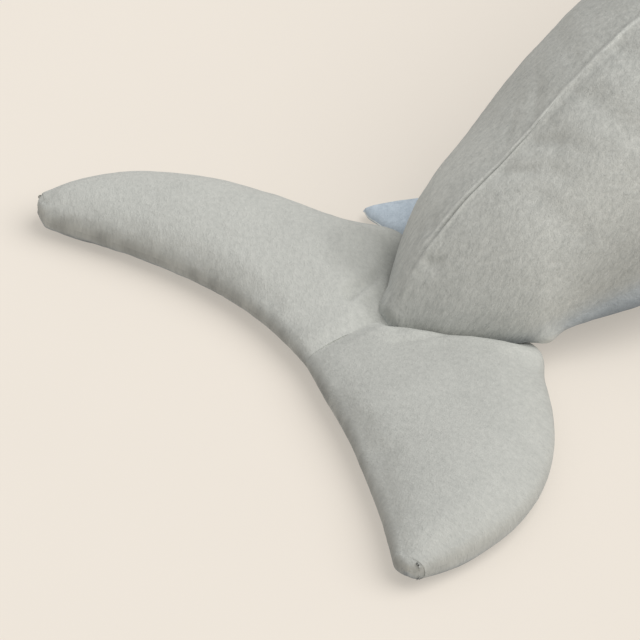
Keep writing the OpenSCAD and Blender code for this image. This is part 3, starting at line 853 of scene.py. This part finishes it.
def build_fin(rows, place, specs, count_u, count_v, plump, seed, shape=None, cap=4.0, lumps=0.5,
              pucker=0.42, groove=0.5, rear_shade=0.0, free=None, painted_brightness=1.0, painted_light=None):
    """Two sewn panels of a fin. place turns its own plane into millimetres from the apex."""
    def base(u, v, side):
        return fin_surface(rows, u, v, side, plump, shape)

    moved = None
    root = rows[0][[1, 3]].max()
    moved = inflate(44, 22, base, lambda p: p[:, 1] < root + 9, cap)
    u = spaced(count_u, False, True, 0.3)[:, None]
    v = spaced(count_v, True, True, 0.3)[None, :]
    made = []
    for side, (panel, material, slot, nodes) in zip((1, -1), specs):
        p = base(u, v, side)
        if moved is not None:
            shift = sample_grid(moved[0 if side > 0 else 1], u, v) * np.array([0.3, 0.3, 1.0])
            share = free(p[..., :2]) if free else smooth(p[..., 1], 4, 34)
            p = p + shift * share[..., None]
        r = row_value(rows, np.broadcast_to(u, p.shape[:2]))
        across = r[..., 2:4] - r[..., 0:2]
        chord = np.linalg.norm(across, axis=-1)
        vv = np.broadcast_to(v, chord.shape)
        tip = (1 - np.broadcast_to(u, chord.shape)) * 150
        from_edge = np.minimum(np.minimum(vv, 1 - vv) * chord, tip)
        along = np.where(vv < 0.5, 0, 400) + p[..., 1] * 1.2 + p[..., 0] * 0.6
        n = np.cross(np.gradient(p, axis=0), np.gradient(p, axis=1))
        n /= np.maximum(np.linalg.norm(n, axis=-1, keepdims=True), 1e-9)
        n = np.where((n[..., 2:3] * side) < 0, -n, n)
        # at the tip the panels end on one line
        relief = fin_relief(p, side, from_edge, along, seed, lumps, pucker, groove) * smooth(tip, 0, 5)
        uneven = 1 + 0.5 * noise2(along, from_edge, 5, 4, seed + 5)
        under = material is BLUE and side < 0
        # painted shade along the edge seam, darkest where the fabric turns under the fin, and broader on a
        # blue under panel
        at_seam = 0.14 + rear_shade * smooth(0.6 - vv, 0, 0.2)
        shade = at_seam * np.exp(-from_edge / 3)
        other = np.zeros(from_edge.shape)
        if under:
            shade = (at_seam + 0.40 * smooth(from_edge, 0.3, 5)) * np.exp(-from_edge / 13)
            other = 0.95 * np.exp(-from_edge / 4)
        # a panel's brightness factor paints it lighter as a whole; shade is painted shade
        tone = painted_brightness * (1 - shade * uneven)
        # painted shadow and painted highlights on the top panel of a lobe
        if painted_light and side > 0:
            tone = tone * painted_light(p[..., :2])
        outer = p + n * relief[..., None]
        thin = np.minimum(FABRIC_T, np.abs(p[..., 2]) * 0.85 + 0.05)
        inner = p + n * (relief - thin)[..., None]
        # the inside edge is drawn in, away from the seam
        pull = np.clip(0.5 - vv, -0.5, 0.5) * 2
        drawn_in = np.sign(pull) * np.abs(pull) ** 9 * np.minimum(FABRIC_T, 0.4 * chord)
        inner[..., 0:2] += across / chord[..., None] * drawn_in[..., None]
        cloth = np.stack([p[..., 0] * 0.5 + p[..., 1] * 0.87, p[..., 0] * 0.87 - p[..., 1] * 0.5], -1)
        outer, inner = place(outer), place(inner)
        outer[..., 2] = np.maximum(outer[..., 2], FLOOR_GAP)
        inner[..., 2] = np.maximum(inner[..., 2], FLOOR_GAP + 0.5)
        # the order of the columns decides which way the faces look
        row, col = outer.shape[0] // 3, outer.shape[1] // 2
        middle = outer[row, col]
        face = np.cross(outer[row, col + 1] - middle, outer[row + 1, col] - middle)
        if np.dot(face, middle - inner[row, col]) < 0:
            outer, inner, cloth, tone, other = (a[:, ::-1] for a in (outer, inner, cloth, tone, other))
        piece = fabric_shell(panel, outer, inner, material, cloth, tone, other)
        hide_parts(*nodes)
        made.append(piece)
    return made


# Short creases of a lobe beside the body: from (forward, outward) to the same, share of the
# height, half width
FLUKE_FOLDS = [((-9, 19, 10, 25), 0.36, 2.6), ((-3, 4, -3, 12), 0.34, 3.2), ((6, 33, 16, 45), 0.18, 5.0)]
# Direction of the line along which a lobe is sewn to the body
ATTACHED = np.array([45.0, 50.0]) / math.hypot(45.0, 50.0)


def from_body(xy, reach):
    """Place along the line where a lobe is sewn on, up to reach, and distance from that line."""
    along = np.clip(xy @ ATTACHED, 0, reach)
    return along, np.linalg.norm(xy - along[..., None] * ATTACHED, axis=-1)


def fluke_shape(sign):
    """Share of a lobe's full height: pinched where it is sewn on, and a little at the centre."""
    far = sign > 0

    def share(xy, side):
        along, d = from_body(xy, 66)
        pinch = ((0.6 if far else 0.84) - 0.3 * smooth(along, 0, 60)) * bell(d, 8.0 if far else 4.5)
        if side < 0:
            return 1 - 0.3 * pinch
        roll = (0.02 if far else 0.15) * bell(d - 11, 6)
        centre = 0.3 * bell(xy[..., 1], 5) * smooth(-xy[..., 0], -6, 10)
        folds = 0
        for line, depth, width in FLUKE_FOLDS:
            folds = folds + (1.0 if far else 0.4) * depth * stroke(xy[..., 0], xy[..., 1], *line, width)
        return (1 - pinch) * (1 + roll) * (1 - centre) * (1 - folds)
    return share


def fluke_free(xy):
    """Share of the simulated movement that a point of a lobe keeps."""
    _, d = from_body(xy, 66)
    return smooth(xy[..., 1], 14, 55) * smooth(d, 4, 24)


def fluke_painted_light(sign):
    """Painted light on a lobe's top panel: on the left the whole lobe painted lighter, with a painted shadow
    of the body beside it; on the right a little darker overall, with painted highlights on the roll by the
    body and on the tip."""
    def left(xy):
        beside = np.hypot(xy[..., 0] - 13, xy[..., 1] - 37)
        return 1.06 - 0.15 * (1 - smooth(beside, 12, 24))

    def right(xy):
        _, d = from_body(xy, 62)
        from_tip = np.hypot(xy[..., 0] + 69, xy[..., 1] - 134)
        return 0.975 + 0.095 * bell(d - 8, 8) + 0.06 * bell(from_tip, 6)
    return left if sign > 0 else right


for sign, word, rows in ((1, "left", LOBE_FAR), (-1, "right", LOBE_NEAR)):
    def place_fluke(p, sign=sign):
        q = np.array(p)
        q[..., 1] = q[..., 1] * sign
        q[..., 2] = q[..., 2] + FLUKE_MID_Z
        return q

    top_nodes = [f"fluke_{word}_top_panel", f"fluke_{word}_stuffing"]
    low_nodes = [f"fluke_{word}_under_panel"]
    if word == "left":
        top_nodes += ["fluke_centre_top_panel", "fluke_centre_stuffing"]
        low_nodes += ["fluke_centre_under_panel"]
    made = build_fin(
        rows, place_fluke,
        [(f"plush_fluke_{word}_top", GREY_SMOOTH, "grey_plush", top_nodes),
         (f"plush_fluke_{word}_under", BLUE, "blue_plush", low_nodes)],
        118, 76, (0.43, 0.36), 40 if sign > 0 else 60, shape=fluke_shape(sign), lumps=0.8,
        pucker=0.26, groove=0.25, rear_shade=0.16, free=fluke_free, painted_light=fluke_painted_light(sign))
    for piece in made:
        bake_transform(piece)


DORSAL_BASE_Z, DORSAL_S = 220.5, 500.0
PECTORAL_S, PECTORAL_Y, PECTORAL_Z, PECTORAL_DROOP = 628.0, 114.5, 54.0, 15.0
ANAL_S, ANAL_Y, ANAL_Z = 105.0, 3.0, 4.6


def place_dorsal(p):
    return np.stack([p[..., 0] + DORSAL_S, -p[..., 2], p[..., 1] + DORSAL_BASE_Z], -1)


for piece in build_fin(
        DORSAL, place_dorsal,
        [("plush_dorsal_right", GREY, "grey_plush", ["dorsal_fin_panel_right"]),
         ("plush_dorsal_left", GREY, "grey_plush", ["dorsal_fin_panel_left", "dorsal_fin_stuffing"])],
        72, 84, (0.62, 0.62), 80):
    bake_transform(piece)

for sign, word in ((1, "left"), (-1, "right")):
    def place_pectoral(p, sign=sign):
        a = math.radians(PECTORAL_DROOP)
        y = p[..., 1] * math.cos(a) + p[..., 2] * math.sin(a)
        z = -p[..., 1] * math.sin(a) + p[..., 2] * math.cos(a)
        return np.stack([p[..., 0] + PECTORAL_S, (PECTORAL_Y + y) * sign, PECTORAL_Z + z], -1)

    for piece in build_fin(
            PECTORAL, place_pectoral,
            [(f"plush_pectoral_{word}_top", GREY, "grey_plush",
              [f"pectoral_{word}_top_panel", f"pectoral_{word}_stuffing"]),
             (f"plush_pectoral_{word}_under", BLUE, "blue_plush", [f"pectoral_{word}_under_panel"])],
            100, 70, (0.62, 0.5), 90 if sign > 0 else 95):
        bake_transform(piece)


def place_anal(p):
    return np.stack([p[..., 0] + ANAL_S, p[..., 1] + ANAL_Y, p[..., 2] + ANAL_Z], -1)


# the anal fin is painted brighter, as if it stood in full light
for piece in build_fin(
        ANAL, place_anal,
        [("plush_anal_outer", BLUE, "blue_plush", ["anal_fin_outer_panel", "anal_fin_wadding"]),
         ("plush_anal_inner", BLUE, "blue_plush", ["anal_fin_inner_panel"])],
        56, 44, (0.7, 0.7), 120, lumps=0.3, cap=2.0, painted_brightness=1.63):
    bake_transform(piece)


# ---- embroidery and eyes

# Gill stitches and the hand stitches that close the body, along s
GILL_S, GILL_PITCH, GILL_COUNT = 690, 15, 4
CLOSING_S, CLOSING_PITCH, CLOSING_COUNT = 330, 11, 9
MOUTH_STITCH = 3.4


def capsule(a, b, up, radius, arch, sides=7, steps=6):
    """Rings of a short thread from a to b that arches along up."""
    rings = []
    direction = (b - a) / np.linalg.norm(b - a)
    side = np.cross(direction, up)
    side /= np.linalg.norm(side)
    turn = np.linspace(0, 2 * np.pi, sides, endpoint=False)
    for k in range(steps + 1):
        t = k / steps
        centre = a + (b - a) * t + up * arch * math.sin(math.pi * t)
        r = radius * max(math.sin(math.pi * (0.04 + 0.92 * t)) ** 0.45, 0.3)
        rings.append(centre + r * (np.cos(turn)[:, None] * side + np.sin(turn)[:, None] * up))
    return np.array(rings)


def threads(name, stitches, body, nodes):
    """One mesh of many short threads; stitches holds (start, end, up, radius, arch)."""
    verts, faces, count = [], [], 0
    for a, b, up, radius, arch in stitches:
        rings = capsule(a, b, up, radius, arch)
        steps, sides = rings.shape[:2]
        verts.append(rings.reshape(-1, 3))
        i = np.arange(steps - 1)[:, None] * sides
        j = np.arange(sides)[None, :]
        k = (j + 1) % sides
        faces += (np.stack([i + j, i + sides + j, i + sides + k, i + k], -1).reshape(-1, 4) + count).tolist()
        faces.append([count + m for m in range(sides)])
        faces.append([count + (steps - 1) * sides + m for m in range(sides - 1, -1, -1)])
        count += steps * sides
    piece = make_object(name, to_world(np.concatenate(verts)), faces, THREAD)
    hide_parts(*nodes)
    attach(piece, body)
    return piece


def surface(s, angle):
    """Point of the finished body fabric and its normal, for one s and angle."""
    s, angle = np.atleast_1d(np.asarray(s, float)), np.atleast_1d(np.asarray(angle, float))
    p, n = body_point(s, angle), body_normal(s, angle)
    big = np.full(s.shape, 999.0)
    signed = np.where(angle > 180, angle - 360, angle)
    lift, _ = body_relief(p, s, signed, big, big)
    return p + n * lift[:, None], n


def path_on_body(s, angle):
    p, n = surface(s, angle)
    t = np.gradient(p, axis=0)
    t /= np.linalg.norm(t, axis=-1, keepdims=True)
    return p, n, t


for sign, word in ((1, "left"), (-1, "right")):
    stitches = []
    for g in range(GILL_COUNT):
        t = np.linspace(0, 1, 104)
        gill_s = GILL_S + GILL_PITCH * g - 8 * np.sin(np.pi * t)
        p, n, along = path_on_body(gill_s, sign * (56 + (40 - 3 * g) * t))
        for k in range(len(t)):
            across = np.cross(along[k], n[k])
            width = 1.5 * math.sin(math.pi * (0.03 + 0.94 * t[k])) ** 0.35
            lean = along[k] * 0.25
            a = p[k] - (across + lean) * width - n[k] * 0.15
            b = p[k] + (across + lean) * width - n[k] * 0.15
            stitches.append((a, b, n[k], 0.42, 0.75))
    threads(f"embroidery_gills_{word}", stitches, "torso", [f"gill_stitches_{word}"])

p, n, along = path_on_body(MOUTH_S, MOUTH_A)
length = np.concatenate([[0], np.cumsum(np.linalg.norm(np.diff(p, axis=0), axis=-1))])
count = int(length[-1] / MOUTH_STITCH)
marks = np.linspace(0, length[-1], count + 1)
q = np.stack([np.interp(marks, length, p[:, k]) for k in range(3)], -1)
m = np.stack([np.interp(marks, length, n[:, k]) for k in range(3)], -1)
m /= np.linalg.norm(m, axis=-1, keepdims=True)
threads("embroidery_mouth",
        [(q[k] - 0.12 * (q[k + 1] - q[k]) + m[k] * 0.1, q[k + 1] + 0.12 * (q[k + 1] - q[k]) + m[k] * 0.1,
          m[k], 0.8, 0.55) for k in range(count)],
        "torso", ["mouth_stitching"])

stitches = []
for k in range(CLOSING_COUNT):
    s0 = CLOSING_S + CLOSING_PITCH * k
    seam = float(seam_angle(np.array(s0)))
    ends, ns = surface([s0 - 1.6, s0 + 1.6], [seam - 2.4, seam + 2.4])
    up = ns[0] + ns[1]
    up /= np.linalg.norm(up)
    stitches.append((ends[0] + up * 0.25, ends[1] + up * 0.25, up, 0.45, 0.35))
threads("hand_stitches", stitches, "torso", ["closing_stitches"])

for word in ("left", "right"):
    for cad_name, material in ((f"eye_{word}", EYE), (f"eye_washer_{word}", WASHER)):
        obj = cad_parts[cad_name]
        obj.data.materials.clear()
        obj.data.materials.append(material)

# ---- floor, light, camera

floor = bpy.data.meshes.new("floor")
floor.from_pydata([(-9, -9, 0), (9, -9, 0), (9, 9, 0), (-9, 9, 0)], [], [(0, 1, 2, 3)])
floor.materials.append(FLOOR)
floor_object = add_object("floor", floor)


def add_sun(name, direction, strength, angle, colour):
    data = bpy.data.lights.new(name, "SUN")
    data.energy = strength
    data.angle = math.radians(angle)
    data.color = colour
    obj = add_object(name, data)
    obj.rotation_mode = "QUATERNION"
    obj.rotation_quaternion = Vector(direction).to_track_quat("Z", "Y")


add_sun("key", (0.42, -0.38, 0.82), 1.98, 60, (1.0, 0.985, 0.965))

world = bpy.data.worlds.new("studio")
world.use_nodes = True
world.node_tree.nodes["Background"].inputs["Color"].default_value = (1.0, 0.995, 0.99, 1)
world.node_tree.nodes["Background"].inputs["Strength"].default_value = 0.50
bpy.context.scene.world = world

# Long lens, so that the picture is almost without perspective
VIEW_AZIMUTH, VIEW_ELEVATION = math.radians(-33.7), math.radians(40.5)
VIEW_WIDTH, VIEW_DISTANCE, SENSOR = 0.2774, 6.0, 36.0
# The middle of the picture, seen from the fluke apex
AIM_Z, AIM_LEFT, AIM_UP = 0.012, 0.0303, 0.0022
back = Vector((math.sin(VIEW_AZIMUTH) * math.cos(VIEW_ELEVATION),
               -math.cos(VIEW_AZIMUTH) * math.cos(VIEW_ELEVATION), math.sin(VIEW_ELEVATION)))
right = Vector((math.cos(VIEW_AZIMUTH), math.sin(VIEW_AZIMUTH), 0))
up = back.cross(right)
aim = Vector((APEX_X, 0, AIM_Z)) - right * AIM_LEFT + up * AIM_UP
camera_data = bpy.data.cameras.new("camera")
camera_data.sensor_width = SENSOR
camera_data.lens = SENSOR * VIEW_DISTANCE / VIEW_WIDTH
camera_data.clip_start, camera_data.clip_end = 0.05, 60
camera = add_object("camera", camera_data)
turn = Matrix((right, up, back)).transposed().to_4x4()
camera.matrix_world = Matrix.Translation(aim + back * VIEW_DISTANCE) @ turn
bpy.context.scene.camera = camera
bpy.context.scene.view_settings.view_transform = "Standard"
